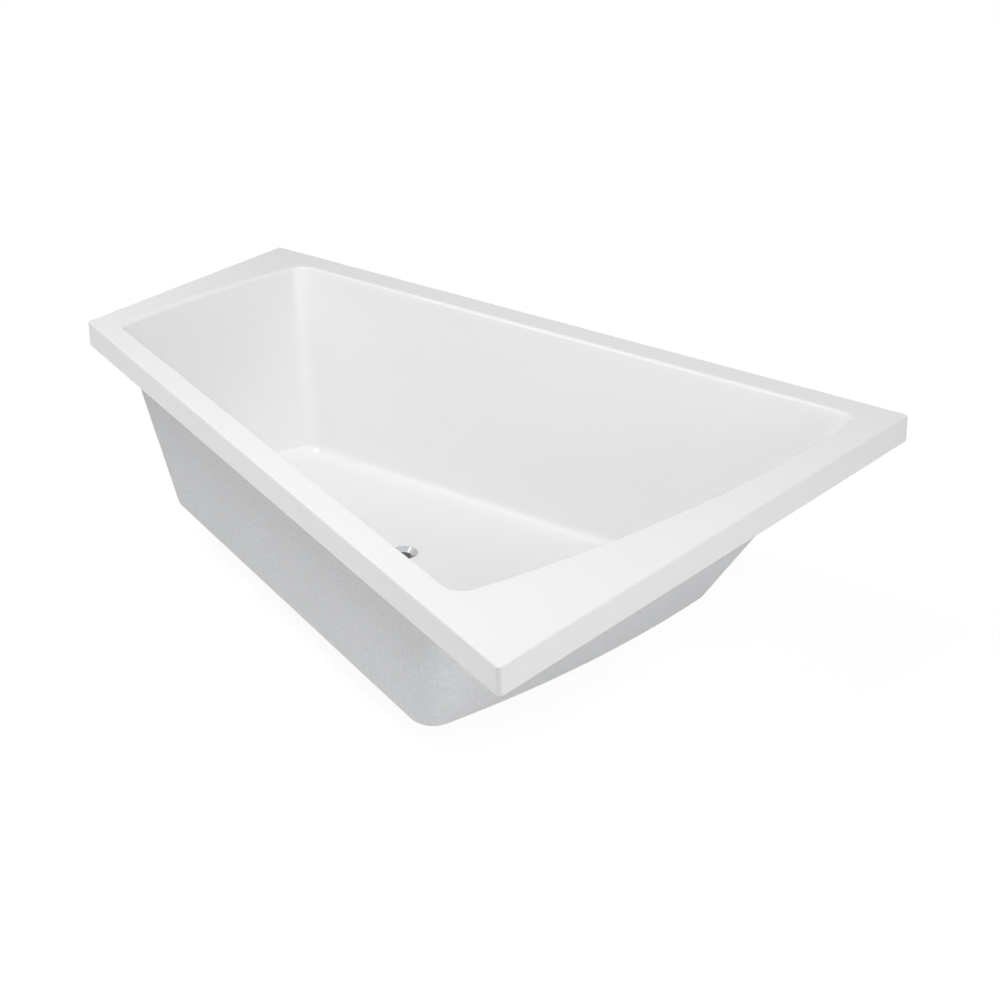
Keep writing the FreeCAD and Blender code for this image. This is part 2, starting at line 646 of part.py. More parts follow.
# Push plug: the head, its seal and the stem slide in the cartridge
plug_head = at_drain(turned("plug_head", [
    ("0", "-dish_depth"),
    ("plug_radius", "-dish_depth"),
    ("plug_radius", "-plug_under"),
    ("plug_boss_radius", "-plug_under"),
    ("plug_boss_radius", "-plug_under - plug_boss"),
    ("stem_radius + stem_gap", "-plug_under - plug_boss"),
    ("stem_radius + stem_gap", "-stem_top"),
    ("0", "-stem_top"),
]))
plug_seal = at_drain(ring("plug_seal", "plug_boss_radius", "plug_radius - plug_seal_inset",
                          "-plug_under - plug_seal", "-plug_under"))
plug_stem = at_drain(turned("plug_stem", [
    ("0", "-stem_top"),
    ("stem_radius", "-stem_top"),
    ("stem_radius", "-stem_top - stem_length"),
    ("0", "-stem_top - stem_length"),
]))
plug_cartridge = at_drain(turned("plug_cartridge", [
    ("stem_radius + stem_gap", "-cartridge_top"),
    ("cartridge_flange_radius", "-cartridge_top"),
    ("cartridge_flange_radius", "-hub_depth"),
    ("cartridge_radius", "-hub_depth"),
    ("cartridge_radius", "-hub_depth - cartridge_length"),
    ("0", "-hub_depth - cartridge_length"),
    ("0", "cartridge_bottom - hub_depth - cartridge_length"),
    ("stem_radius + stem_gap", "cartridge_bottom - hub_depth - cartridge_length"),
]))

# Trap: a head with a dip pipe, and a cup that unscrews for cleaning
trap_inlet_start = "waste_pipe_end + gasket - trap_offset"
trap_turned = turned("trap_turned", [
    ("0", "-trap_top"),
    ("trap_radius", "-trap_top"),
    ("trap_radius", "-trap_skirt_depth"),
    ("trap_inner_radius", "-trap_skirt_depth"),
    ("trap_inner_radius", "-trap_top - trap_wall"),
    ("dip_radius", "-trap_top - trap_wall"),
    ("dip_radius", "-dip_depth"),
    ("pipe_radius", "-dip_depth"),
    ("pipe_radius", "-trap_top - trap_wall"),
    ("0", "-trap_top - trap_wall"),
])
trap_solid = fuse("trap_solid", [
    trap_turned,
    pipe("trap_inlet", "pipe_radius", trap_inlet_start, "-pipe_bore", "pipe_depth"),
    pipe("trap_outlet", "pipe_radius", "trap_radius - trap_wall * 3",
         "trap_radius + trap_stub", "pipe_depth + trap_outlet_fall"),
    pipe("trap_outlet_collar", "pipe_radius + collar", "trap_radius - trap_wall * 3",
         "trap_radius + collar_length", "pipe_depth + trap_outlet_fall"),
])
trap_hollow = fuse("trap_hollow", [
    pipe("trap_inlet_bore", "pipe_bore", f"{trap_inlet_start} - overrun", "0", "pipe_depth"),
    pipe("trap_outlet_bore", "pipe_bore", "dip_radius + pipe_wall",
         "trap_radius + trap_stub + overrun", "pipe_depth + trap_outlet_fall"),
    cylinder("dip_bore", "pipe_radius", "-dip_depth - overrun", "-trap_top - trap_wall"),
])
trap_body = at_drain(cut("trap_body", trap_solid, trap_hollow), "trap_offset")
trap_seal = at_drain(ring("trap_seal", "trap_inner_radius", "trap_radius",
                          "-trap_skirt_depth - trap_seal", "-trap_skirt_depth"), "trap_offset")
trap_cup = at_drain(turned("trap_cup", [
    ("trap_cup_inner_radius", "trap_cup_overlap - trap_skirt_depth"),
    ("trap_cup_inner_radius + trap_cup_wall", "trap_cup_overlap - trap_skirt_depth"),
    ("trap_cup_inner_radius + trap_cup_wall", "-trap_depth"),
    ("0", "-trap_depth"),
    ("0", "trap_wall - trap_depth"),
    ("trap_inner_radius", "trap_wall - trap_depth"),
    ("trap_inner_radius", "-trap_skirt_depth - trap_seal"),
    ("trap_cup_inner_radius", "-trap_skirt_depth - trap_seal"),
]), "trap_offset")
gasket_disc = pipe("gasket_disc", "pipe_radius", "waste_pipe_end", "waste_pipe_end + gasket",
                   "pipe_depth")
union_gasket = at_drain(cut("union_gasket", gasket_disc, pipe(
    "gasket_bore", "pipe_bore", "waste_pipe_end - overrun", "waste_pipe_end + gasket + overrun",
    "pipe_depth")))
union_prism = doc.addObject("Part::Prism", "union_prism")
union_prism.Polygon = 12
bind(union_prism, Circumradius="union_radius", Height="union_length")
union_prism.Placement = FreeCAD.Placement(Vector(), FreeCAD.Rotation(Vector(1, 0, 0), -90))
place(union_prism, y="waste_pipe_end + gasket / 2 - union_length / 2", z="-pipe_depth")
union_nut = at_drain(cut("union_nut", union_prism, pipe(
    "union_bore", "pipe_radius + thread_gap", "waste_pipe_end - union_length",
    "waste_pipe_end + union_length", "pipe_depth")))

# Overflow, drawn about the hole in the slanted wall with Z into the basin


def on_wall(item):
    item.Placement = wall_frame
    return item


overflow_seal = on_wall(turned("overflow_seal", [
    ("overflow_hole_radius + seat_gap", "-overflow_body_top"),
    ("overflow_body_radius", "-overflow_body_top"),
    ("overflow_body_radius", "-overflow_seat"),
    ("overflow_hole_radius + seat_gap", "-overflow_seat"),
]))
overflow_outside = fuse("overflow_outside", [
    cylinder("overflow_drum", "overflow_body_radius",
             "-overflow_body_top - overflow_body_depth", "-overflow_body_top"),
    pipe("overflow_spigot", "hose_radius", "-overflow_body_radius - overflow_stub", "0",
         "overflow_body_top + overflow_body_depth / 2"),
    pipe("overflow_collar", "hose_radius + collar", "-overflow_body_radius - collar_length", "0",
         "overflow_body_top + overflow_body_depth / 2"),
])
overflow_hollow = fuse("overflow_hollow", [
    ring("overflow_chamber", "overflow_boss_radius", "overflow_body_radius - overflow_body_wall",
         "overflow_body_wall - overflow_body_top - overflow_body_depth",
         "overrun - overflow_body_top"),
    pipe("overflow_spigot_bore", "hose_bore", "-overflow_body_radius - overflow_stub - overrun",
         "-overflow_boss_radius * 2", "overflow_body_top + overflow_body_depth / 2"),
    cylinder("overflow_thread", "overflow_screw_radius + stem_gap",
             "overflow_body_wall - overflow_body_top - overflow_body_depth",
             "overrun - overflow_body_top"),
])
overflow_body = on_wall(cut("overflow_body", overflow_outside, overflow_hollow))
overflow_cap = turned("overflow_cap", [
    ("overflow_screw_radius + stem_gap", "overflow_cover_height"),
    ("overflow_cover_radius - overflow_cover_bevel", "overflow_cover_height"),
    ("overflow_cover_radius", "overflow_cover_height - overflow_cover_bevel"),
    ("overflow_cover_radius", "bond_gap"),
    ("overflow_cover_radius - overflow_cover_sheet", "bond_gap"),
    ("overflow_cover_radius - overflow_cover_sheet", "overflow_cover_height"
     " - overflow_cover_bevel - overflow_cover_sheet / 2"),
    ("overflow_cover_radius - overflow_cover_bevel - overflow_cover_sheet / 2",
     "overflow_cover_height - overflow_cover_sheet"),
    ("overflow_boss_radius", "overflow_cover_height - overflow_cover_sheet"),
    ("overflow_boss_radius", "-overflow_body_top"),
    ("overflow_screw_radius + stem_gap", "-overflow_body_top"),
])
overflow_slot = doc.addObject("Part::Box", "overflow_slot")
bind(overflow_slot, Length="overflow_slot_width", Width="overflow_cover_radius / 2",
     Height="overflow_slot_height + overrun")
place(overflow_slot, "-overflow_slot_width / 2", "-overflow_cover_radius - overflow_boss_radius",
      "bond_gap - overrun")
overflow_cover = on_wall(cut("overflow_cover", overflow_cap, overflow_slot))
overflow_screw = on_wall(turned("overflow_screw", [
    ("0", "overflow_cover_height + overflow_head"),
    ("overflow_head_radius", "overflow_cover_height + overflow_head"),
    ("overflow_head_radius", "overflow_cover_height"),
    ("overflow_screw_radius", "overflow_cover_height"),
    ("overflow_screw_radius", "overflow_body_wall * 2 - overflow_body_top - overflow_body_depth"),
    ("0", "overflow_body_wall * 2 - overflow_body_top - overflow_body_depth"),
]))

# Rails under the board, each with a screw foot near both ends
rails = []
feet = []
for rail_name, (rail_x, rail_length) in RAILS.items():
    profile_body = body(f"rail_{rail_name}_profile")
    pad = profile_body.newObject("PartDesign::Pad", f"rail_{rail_name}_pad")
    pad.Profile = polygon(sketch(profile_body, f"rail_{rail_name}_outline", "XZ_Plane"), [
        ("-rail_half - rail_lip", "0"),
        ("rail_sheet - rail_half", "0"),
        ("rail_sheet - rail_half", "rail_sheet - rail_height"),
        ("rail_half - rail_sheet", "rail_sheet - rail_height"),
        ("rail_half - rail_sheet", "0"),
        ("rail_half + rail_lip", "0"),
        ("rail_half + rail_lip", "-rail_sheet"),
        ("rail_half", "-rail_sheet"),
        ("rail_half", "-rail_height"),
        ("-rail_half", "-rail_height"),
        ("-rail_half", "-rail_sheet"),
        ("-rail_half - rail_lip", "-rail_sheet"),
    ])
    bind(pad, Length=rail_length)
    profile_body.Tip = pad
    place(profile_body, rail_x, "rail_start", "foot_height")
    foot_spots = [f"rail_start - ({along})"
                  for along in ("foot_inset", f"{rail_length} - foot_inset")]
    drills = []
    for spot in foot_spots:
        number = len(feet) + 1
        drills.append(place(
            cylinder(f"rod_hole_{number}", "rod_radius + rod_clearance", "0",
                     "rail_sheet + 2 * overrun"), rail_x, spot, "rail_bottom - overrun"))
        rod = place(cylinder(f"foot_rod_{number}", "rod_radius", "pad_height - pad_socket_depth",
                             "foot_height - rod_top_gap"),
                    rail_x, spot, "pad_height - pad_socket_depth")
        weld_nut = place(hexagon(f"weld_nut_{number}", "0", "weld_nut_height",
                                 "rod_radius + nut_gap"),
                         rail_x, spot, "rail_bottom + rail_sheet")
        lock_nut = place(hexagon(f"lock_nut_{number}", "-lock_nut_height", "0",
                                 "rod_radius + nut_gap"),
                         rail_x, spot, "rail_bottom")
        pad_piece = place(turned(f"foot_pad_{number}", [
            ("0", "0"),
            ("pad_radius", "0"),
            ("pad_radius", "pad_rim"),
            ("pad_top_radius", "pad_height"),
            ("rod_radius + nut_gap", "pad_height"),
            ("rod_radius + nut_gap", "pad_height - pad_socket_depth"),
            ("0", "pad_height - pad_socket_depth"),
        ]), rail_x, spot)
        feet.append([rod, weld_nut, lock_nut, pad_piece])
    spots = [(x, y) for x, y in SCREW_SPOTS if x.startswith(rail_x)]
    for index, (x, y) in enumerate(spots):
        drills.append(place(
            cylinder(f"screw_hole_{rail_name}_{index}", "rail_screw_radius + nut_gap", "0",
                     "rail_sheet + 2 * overrun"), x, y, "foot_height - rail_sheet - overrun"))
    rails.append(cut(f"rail_{rail_name}", profile_body,
                     group(f"rail_{rail_name}_holes", drills)))

screws = []
for number, (x, y) in enumerate(SCREW_SPOTS, 1):
    head = cylinder(f"screw_head_{number}", "rail_screw_head_radius", "-rail_screw_head", "0")
    shank = cylinder(f"screw_shank_{number}", "rail_screw_radius", "-rail_screw_head / 2",
                     "rail_screw_length - rail_sheet")
    screws.append(place(fuse(f"rail_screw_{number}", [head, shank]),
                        x, y, "foot_height - rail_sheet"))
rail_screws = group("rail_screws", screws)

SUB_PARTS = [
    tub_shell, reinforcement_shell, base_board,
    batten_back, batten_front, batten_narrow, batten_wide,
    waste_flange, seat_seal, waste_seal, waste_body,
    plug_head, plug_seal, plug_stem, plug_cartridge,
    trap_body, trap_seal, trap_cup, union_gasket, union_nut,
    overflow_seal, overflow_body, overflow_cover, overflow_screw, rail_screws,
] + rails + [piece for foot in feet for piece in foot]

doc.recompute()
for item in doc.Objects:
    if "Invalid" in item.State or "Error" in item.State:
        raise RuntimeError(f"{item.Name} failed: {item.State}")
for item in SUB_PARTS:
    if item.Shape.isNull() or not item.Shape.isValid() or not item.Shape.Solids:
        raise RuntimeError(f"{item.Name} has no valid solid")
for item in SUB_PARTS:
    item.Label = item.Name
    item.Shape.exportStep(f"parts/{item.Label}.step")
print(f"{len(SUB_PARTS)} sub-parts written")
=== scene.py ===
import json
import math

import bmesh
import bpy
from bpy.props import FloatProperty, FloatVectorProperty, IntProperty, PointerProperty
from bpy.types import Operator, Panel, PropertyGroup
from mathutils import Matrix, Vector


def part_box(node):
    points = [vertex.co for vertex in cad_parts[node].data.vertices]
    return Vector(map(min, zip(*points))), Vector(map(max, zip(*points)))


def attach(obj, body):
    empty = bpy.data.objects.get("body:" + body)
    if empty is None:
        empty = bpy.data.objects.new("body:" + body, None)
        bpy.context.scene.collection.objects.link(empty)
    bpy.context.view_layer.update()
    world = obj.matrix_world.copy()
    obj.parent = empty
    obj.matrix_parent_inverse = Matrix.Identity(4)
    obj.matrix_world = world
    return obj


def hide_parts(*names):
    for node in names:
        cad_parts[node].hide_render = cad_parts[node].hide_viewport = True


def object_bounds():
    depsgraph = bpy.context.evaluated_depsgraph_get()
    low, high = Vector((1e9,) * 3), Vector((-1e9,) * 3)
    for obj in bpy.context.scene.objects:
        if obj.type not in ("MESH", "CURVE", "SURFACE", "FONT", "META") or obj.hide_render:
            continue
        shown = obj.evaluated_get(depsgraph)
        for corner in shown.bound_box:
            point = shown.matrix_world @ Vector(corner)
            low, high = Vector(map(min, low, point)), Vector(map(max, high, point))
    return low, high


bl_info = {
    "name": "Corner bathtub",
    "version": (1, 0, 0),
    "blender": (4, 5, 0),
    "location": "3D View > Sidebar > Bathtub",
    "description": "Finishes a trapezoid acrylic bathtub with its waste, trap, overflow and feet",
    "category": "Object",
}

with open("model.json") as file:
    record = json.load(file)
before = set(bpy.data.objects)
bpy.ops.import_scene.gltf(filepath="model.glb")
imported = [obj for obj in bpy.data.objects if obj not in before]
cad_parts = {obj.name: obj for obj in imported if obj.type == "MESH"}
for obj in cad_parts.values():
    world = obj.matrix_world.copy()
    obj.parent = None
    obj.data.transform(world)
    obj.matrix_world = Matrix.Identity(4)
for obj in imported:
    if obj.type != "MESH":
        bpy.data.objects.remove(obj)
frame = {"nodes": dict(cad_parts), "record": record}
cad_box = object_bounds()
nodes = frame["nodes"]
mounts = {mount["name"]: mount for mount in frame["record"]["mounts"]}
feet = [node.rsplit("_", 1)[1] for node in nodes if node.startswith("foot_rod_")]

MM = 0.001

# Levels that differ by less than this are the same
SAME_LEVEL = 0.01 * MM
# Vertices that are closer than this are one
SAME_VERTEX = 0.001 * MM
# A face looks up where its normal's height is more than this, and down where it is less than
# the negative of it
LEVEL_NORMAL = 0.9
# Edges that turn by less than this are shaded smooth
SMOOTH_TURN = math.radians(32)

# Sides of the round forms, and steps of a thread in one turn
HEXAGON = 6
RIB_SIDES = 12
ROD_SIDES = 32
HEAD_SIDES = 40
NUT_SIDES = 60
PAD_SIDES = 64
THREAD_STEPS = 20

# Height and side of an even triangle, for a circle of radius 1 round it
TRIANGLE_HEIGHT = 1.5
TRIANGLE_SIDE = math.sqrt(3)

# A screw's vertex is on its head where it is further from the axis than this part of the head's
# radius, and on its shank where it is deeper than this many heights of the head
ON_HEAD = 0.9
ON_SHANK = 1.5

# Parts by which a mottled finish's light tint is multiplied to give its dark one
ACRYLIC_SHADE = 0.985
PIPE_SHADE = 0.95
ZINC_SHADE = 0.8

# How far the patterns of the strands and of the wood's rings are drawn out
STRAND_STRETCH = 12
GRAIN_STRETCH = 25


def linear(code):
    """Linear colour of an sRGB hex value."""
    levels = [int(code[place:place + 2], 16) / 255 for place in (0, 2, 4)]
    return tuple(
        level / 12.92 if level <= 0.04045 else ((level + 0.055) / 1.055) ** 2.4
        for level in levels)


def colour(name, code, description):
    """Colour property whose default is an sRGB hex value."""
    return FloatVectorProperty(name=name, description=description, subtype="COLOR", size=3,
                               min=0, max=1, default=linear(code))


def length(name, millimetres, description):
    """Length property whose default is given in millimetres."""
    return FloatProperty(name=name, description=description, subtype="DISTANCE", unit="LENGTH",
                         min=0, precision=5, default=millimetres * MM)


def share(name, part, description):
    """Property that is a part of another size."""
    return FloatProperty(name=name, description=description, subtype="FACTOR", min=0, max=1,
                         precision=3, default=part)


class BathFinish(PropertyGroup):
    """Colours of the finishes"""

    acrylic: colour("Acrylic", "F0F0F0", "Sanitary white of the cast sheet")
    coat_light: colour("Coat, light", "E8E9EB", "Resin between the glass strands")
    coat_dark: colour("Coat, dark", "D2D4D6", "Glass strands in the sprayed coat")
    chip_light: colour("Chipboard, light", "D3B78B", "Pale wood chips")
    chip_dark: colour("Chipboard, dark", "9A7A50", "Dark wood chips")
    spruce_light: colour("Spruce, light", "DDBF8D", "Early wood of the battens")
    spruce_dark: colour("Spruce, dark", "B98F58", "Late wood of the battens")
    chrome: colour("Chrome", "C6C8CA", "Polished chrome plate")
    rubber: colour("Rubber", "1B1B1C", "Black nitrile seals")
    pipe: colour("Pipe", "E7E7E4", "White moulded pipe fittings")
    # The plug's dark tint is painted shade: it stands for the shade deep in the drain's hole.
    plug: colour("Plug", "3A3C3F", "Dark moulded plug")
    zinc: colour("Zinc", "C3C6C8", "Zinc plated rods, nuts and screws")
    galvanised_light: colour("Galvanised, light", "BFC3C6", "Pale crystals on the rails")
    galvanised_dark: colour("Galvanised, dark", "9CA1A5", "Dark crystals on the rails")
    pad: colour("Pad", "222324", "Black moulded foot pads")
    floor: colour("Floor", "F4F4F4", "Pale studio floor")


class BathHardware(PropertyGroup):
    """Sizes of the small parts that the frame gives only as plain forms"""

    pitch: length("Thread pitch", 1.75, "Rise of the foot rod's thread in one turn")
    thread_depth: length("Thread depth", 1.05, "Height of the foot rod's thread")
    nut_chamfer: length("Nut chamfer", 1.4, "Width of the turned chamfer on the nuts' corners")
    thread_sink: length("Thread sink", 0.1, "How far the thread is set into the rod's core")
    thread_share: share("Thread share", 0.92, "Part of the pitch that the thread's base takes")
    recess: length("Recess", 1.4, "Width of a cross recess's arms at the screw's face")
    recess_reach: share("Recess reach", 0.55, "Reach of a cross recess for a head of radius 1")
    recess_length: share("Recess length", 0.4, "Part of an arm's length that is left at its foot")
    recess_width: share("Recess width", 0.7, "Part of an arm's width that is left at its foot")
    head_round: length("Head round", 1.3, "Rounding of the screw heads")
    pan_height: share("Pan height", 0.62, "Height of a pan head for a head of radius 1")
    wood_shank: share("Wood shank", 0.5, "Radius of a wood screw's shank for a head of radius 1")
    screw_tip: share("Screw tip", 0.1, "Part of the shank's width that is left at a point")
    pad_rim: length("Pad rim", 5, "Height of the upright edge of a foot pad")
    pad_chamfer: length("Pad chamfer", 4.6, "Chamfer under the edge of a foot pad")
    pad_boss: length("Pad boss", 12, "Radius of the top of a foot pad")
    pad_rib: length("Pad rib", 2.2, "Thickness of the ribs on a foot pad")
    pad_rib_end: length("Pad rib end", 3, "Height of a rib's outer end over the upright edge")
    pad_rib_round: length("Pad rib round", 0.5, "Rounding of a rib, and its drop below the top")
    pad_rib_root: length("Pad rib root", 1, "How far a rib runs into the boss")
    pad_rib_margin: length("Pad rib margin", 2, "Room from a rib's end to the pad's edge")
    pad_ribs: IntProperty(name="Pad ribs", description="Ribs on a foot pad", min=3, default=8)
    rib: length("Grip rib", 1.6, "Radius of a grip rib on the trap cup and the union nut")
    cup_ribs: IntProperty(name="Cup ribs", description="Grip ribs round the trap cup",
                          min=3, default=24)
    nut_ribs: IntProperty(name="Nut ribs", description="Grip ribs round the union nut",
                          min=3, default=12)


def power(name, watts, description):
    """Lamp power property."""
    return FloatProperty(name=name, description=description, unit="POWER", min=0, default=watts)


class BathStudio(PropertyGroup):
    """Camera and light"""

    aim: FloatVectorProperty(name="Aim", description="Point at the middle of the picture",
                             subtype="TRANSLATION", unit="LENGTH", default=(0.476, -0.157, 0.600))
    azimuth: FloatProperty(name="Azimuth", description="Camera's turn round the tub",
                           subtype="ANGLE", default=math.radians(38.37))
    elevation: FloatProperty(name="Elevation", description="Camera's height above the horizon",
                             subtype="ANGLE", default=math.radians(24.81))
    roll: FloatProperty(name="Roll", description="Camera's turn about its own axis",
                        subtype="ANGLE", default=math.radians(-0.54))
    distance: FloatProperty(name="Distance", description="Camera's distance from the aim",
                            subtype="DISTANCE", unit="LENGTH", default=4.956)
    lens: FloatProperty(name="Lens", description="Focal length", unit="CAMERA", default=91.04)
    sensor: FloatProperty(name="Sensor", description="Width of the camera's sensor, in mm",
                          min=1, default=36)
    sky: FloatProperty(name="Sky", description="Strength of the light round the horizon",
                       min=0, default=0.38)
    sky_top: FloatProperty(name="Top of the sky's light", description="Height of a direction,"
                           " of 1 straight up, from which the sky gives no light",
                           min=0, max=1, default=0.7)
    over_front: power("Lamp over the front", 84, "Main lamp, high over the slanted front")
    right: power("Right lamp", 33, "Lamp beside the wide end")
    left: power("Left lamp", 15, "Lamp high on the left")
    low_right: power("Low right lamp", 19, "Lamp near the floor, on the right of the camera")
    low_left: power("Low left lamp", 9, "Lamp on the left of the camera")
    behind: power("Lamp behind", 19, "Weak lamp behind the long back edge")
    shadow_share: share("Shadow share", 0.22,
                        "How much of the floor's own shading shows on the white ground")
    glow_near: share("Glow near", 0.17, "Glow that lifts the ground to white beside the tub")
    glow_far: share("Glow far", 0.25, "Glow that lifts the ground to white far from the tub")
    near: FloatProperty(name="Near", description="Distance up to which the near glow reaches",
                        subtype="DISTANCE", unit="LENGTH", min=0, default=1.2)
    far: FloatProperty(name="Far", description="Distance from which the far glow holds",
                       subtype="DISTANCE", unit="LENGTH", min=0, default=5)
    floor_width: FloatProperty(name="Floor width", description="Width of the studio floor",
                               subtype="DISTANCE", unit="LENGTH", min=1, default=60)
    floor_gap: length("Floor gap", 0.5, "Room between the foot pads and the studio floor")


# Where each lamp stands, and how wide it is, in metres
LAMPS = {
    "over_front": ((0, -1.4, 3.6), 1.6),
    "right": ((3.4, 0, 2), 1.6),
    "left": ((-2.2, -0.8, 3), 1.6),
    "low_right": ((3.6, -2.2, 0.9), 1.8),
    "low_left": ((-2, -2.4, 2), 1.6),
    "behind": ((0.6, 3.6, 1.5), 2),
}


# Shader nodes


def add(tree, kind, links=None, **settings):
    """Add a shader node, set its properties, and set or link its inputs."""
    node = tree.nodes.new(kind)
    for name, value in settings.items():
        setattr(node, name, value)
    for name, value in (links or {}).items():
        if isinstance(value, bpy.types.NodeSocket):
            tree.links.new(value, node.inputs[name])
        else:
            node.inputs[name].default_value = value
    return node


def finish(name, **inputs):
    """New material with a Principled shader, its tree and its shader."""
    material = bpy.data.materials.new(name)
    material.use_nodes = True
    tree = material.node_tree
    tree.nodes.clear()
    shader = add(tree, "ShaderNodeBsdfPrincipled",
                 {label.replace("_", " "): value for label, value in inputs.items()})
    add(tree, "ShaderNodeOutputMaterial", {"Surface": shader.outputs["BSDF"]})
    return material, tree, shader


def per(millimetres):
    """Texture scale that repeats at a real size."""
    return 1 / (millimetres * MM)


def opaque(tint):
    """Tint with full alpha."""
    return (*tint, 1)


def darker(tint, part):
    """Tint multiplied by a part."""
    return tuple(part * channel for channel in tint)


def shade(tree, shader, factor, dark, light):
    """Colour the shader between two tints by a factor."""
    mix = add(tree, "ShaderNodeMix", data_type="RGBA")
    tree.links.new(factor, mix.inputs["Factor"])
    mix.inputs["A"].default_value = opaque(dark)
    mix.inputs["B"].default_value = opaque(light)
    tree.links.new(mix.outputs["Result"], shader.inputs["Base Color"])


def roughen(tree, shader, height, *, depth, strength):
    """Bump the shader by a height of a real depth in millimetres."""
    bump = add(tree, "ShaderNodeBump", {"Height": height, "Distance": depth * MM,
                                        "Strength": strength})
    tree.links.new(bump.outputs["Normal"], shader.inputs["Normal"])


def own_place(tree):
    """Place on the object, in its own coordinates."""
    return add(tree, "ShaderNodeTexCoord").outputs["Object"]


def noise(tree, grain, detail=2, vector=None):
    """Factor of a noise of a real grain size, in millimetres."""
    return add(tree, "ShaderNodeTexNoise", {"Vector": vector or own_place(tree),
                                            "Scale": per(grain), "Detail": detail}).outputs["Fac"]


def flakes(tree, grain, vector=None):
    """Sockets of a pattern of flat flakes of a real grain size, in millimetres."""
    return add(tree, "ShaderNodeTexVoronoi", {"Vector": vector or own_place(tree),
                                              "Scale": per(grain)}).outputs


def spread(tree, value, low=0.0, high=1.0, start=0.0, end=1.0):
    """Value between two limits, carried to the span from start to end."""
    return add(tree, "ShaderNodeMapRange", {
        "Value": value, "From Min": low, "From Max": high,
        "To Min": start, "To Max": end}).outputs["Result"]


def rough_between(tree, shader, value, smooth, rough):
    """Let a value set the shader's roughness between two limits."""
    tree.links.new(spread(tree, value, start=smooth, end=rough), shader.inputs["Roughness"])


# Finishes


def cast_acrylic(tints):
    """Cast acrylic sheet, drawn hot over a mould.

    The surface is a deep even gloss. Drawing leaves a very slight orange peel, about 14 mm
    from crest to crest, that shows only where a reflection bends.
    """
    material, tree, shader = finish("cast_acrylic", Roughness=0.2, IOR=1.49,
                                    Specular_IOR_Level=0.5)
    shade(tree, shader, noise(tree, grain=260), darker(tints.acrylic, ACRYLIC_SHADE),
          tints.acrylic)
    roughen(tree, shader, noise(tree, grain=14, detail=1), depth=0.02, strength=0.3)
    return material


def sprayed_glass_fibre(tints):
    """Polyester resin and chopped glass, sprayed on the back of the sheet and rolled down.

    The strands, 25 to 50 mm long, cross at random under a satin skin of resin, and show as
    faint pale and dark streaks. They are 1 mm thick, and are drawn 2.5 mm thick to show.
    """
    material, tree, shader = finish("sprayed_glass_fibre", Roughness=0.55, IOR=1.53)
    place = own_place(tree)
    strands = noise(tree, grain=5, detail=3, vector=place)
    # Rise and turn of the directions in which the strands lie, in degrees
    for rise, turn in ((40, 5), (-50, -8), (48, 95), (-35, 82), (4, 50), (-6, -40)):
        along = add(tree, "ShaderNodeMapping", {
            "Vector": place, "Rotation": (0, math.radians(rise), math.radians(turn)),
            "Scale": (STRAND_STRETCH, 1, 1)}, vector_type="TEXTURE").outputs["Vector"]
        strand = noise(tree, grain=2.5, detail=1, vector=along)
        strands = add(tree, "ShaderNodeMath", {0: strands, 1: strand},
                      operation="MAXIMUM").outputs["Value"]
    clear = spread(tree, strands, low=0.56, high=0.74)
    shade(tree, shader, clear, tints.coat_light, tints.coat_dark)
    roughen(tree, shader, clear, depth=0.15, strength=0.6)
    return material


def chipboard(tints):
    """Raw chipboard: pressed flakes of 3 to 8 mm in mixed tones, with a dry, open face."""
    material, tree, shader = finish("chipboard", Roughness=0.85)
    place = own_place(tree)
    chips = flakes(tree, grain=6, vector=place)
    dust = flakes(tree, grain=2.5, vector=place)
    both = add(tree, "ShaderNodeMix", {"Factor": 0.5}, data_type="RGBA")
    tree.links.new(chips["Color"], both.inputs["A"])
    tree.links.new(dust["Color"], both.inputs["B"])
    tone = add(tree, "ShaderNodeSeparateColor", {"Color": both.outputs["Result"]}).outputs
    shade(tree, shader, tone["Red"], tints.chip_dark, tints.chip_light)
    roughen(tree, shader, chips["Distance"], depth=0.3, strength=0.6)
    return material


def sawn_spruce(tints, turn):
    """Sawn spruce, its grain along the batten: rings of early and late wood about 4 mm apart."""
    material, tree, shader = finish(f"sawn_spruce_{round(math.degrees(turn))}", Roughness=0.75)
    along = add(tree, "ShaderNodeMapping", {
        "Vector": own_place(tree), "Rotation": (0, 0, turn),
        "Scale": (1 / GRAIN_STRETCH, 1, 1)}).outputs["Vector"]
    rings = noise(tree, grain=4, detail=3, vector=along)
    shade(tree, shader, rings, tints.spruce_dark, tints.spruce_light)
    roughen(tree, shader, rings, depth=0.2, strength=0.5)
    return material


def chrome_plate(tints):
    """Polished chrome plate on brass: a clear mirror, softened a little by wiping marks."""
    material, tree, shader = finish("chrome_plate", Base_Color=opaque(tints.chrome), Metallic=1)
    marks = noise(tree, grain=6, detail=3)
    rough_between(tree, shader, marks, 0.07, 0.16)
    return material


def nitrile_rubber(tints):
    """Moulded nitrile rubber: black, dull, with a fine mould texture."""
    material, tree, shader = finish("nitrile_rubber", Base_Color=opaque(tints.rubber),
                                    Roughness=0.7, IOR=1.52)
    roughen(tree, shader, noise(tree, grain=0.8), depth=0.05, strength=0.5)
    return material


def moulded_polypropylene(tints):
    """Injection moulded polypropylene pipe fittings: white, waxy and slightly uneven."""
    material, tree, shader = finish("moulded_polypropylene", Roughness=0.38, IOR=1.49)
    shade(tree, shader, noise(tree, grain=30), darker(tints.pipe, PIPE_SHADE), tints.pipe)
    roughen(tree, shader, noise(tree, grain=3), depth=0.03, strength=0.4)
    return material


def moulded_abs(tints):
    """Injection moulded ABS of the plug, with a fine spark texture of about 0.5 mm. Its dark tint
    is painted shade: it stands for the shade deep in the drain's hole.
    """
    material, tree, shader = finish("moulded_abs", Base_Color=opaque(tints.plug),
                                    Roughness=0.4, IOR=1.54)
    roughen(tree, shader, noise(tree, grain=0.5), depth=0.02, strength=0.5)
    return material


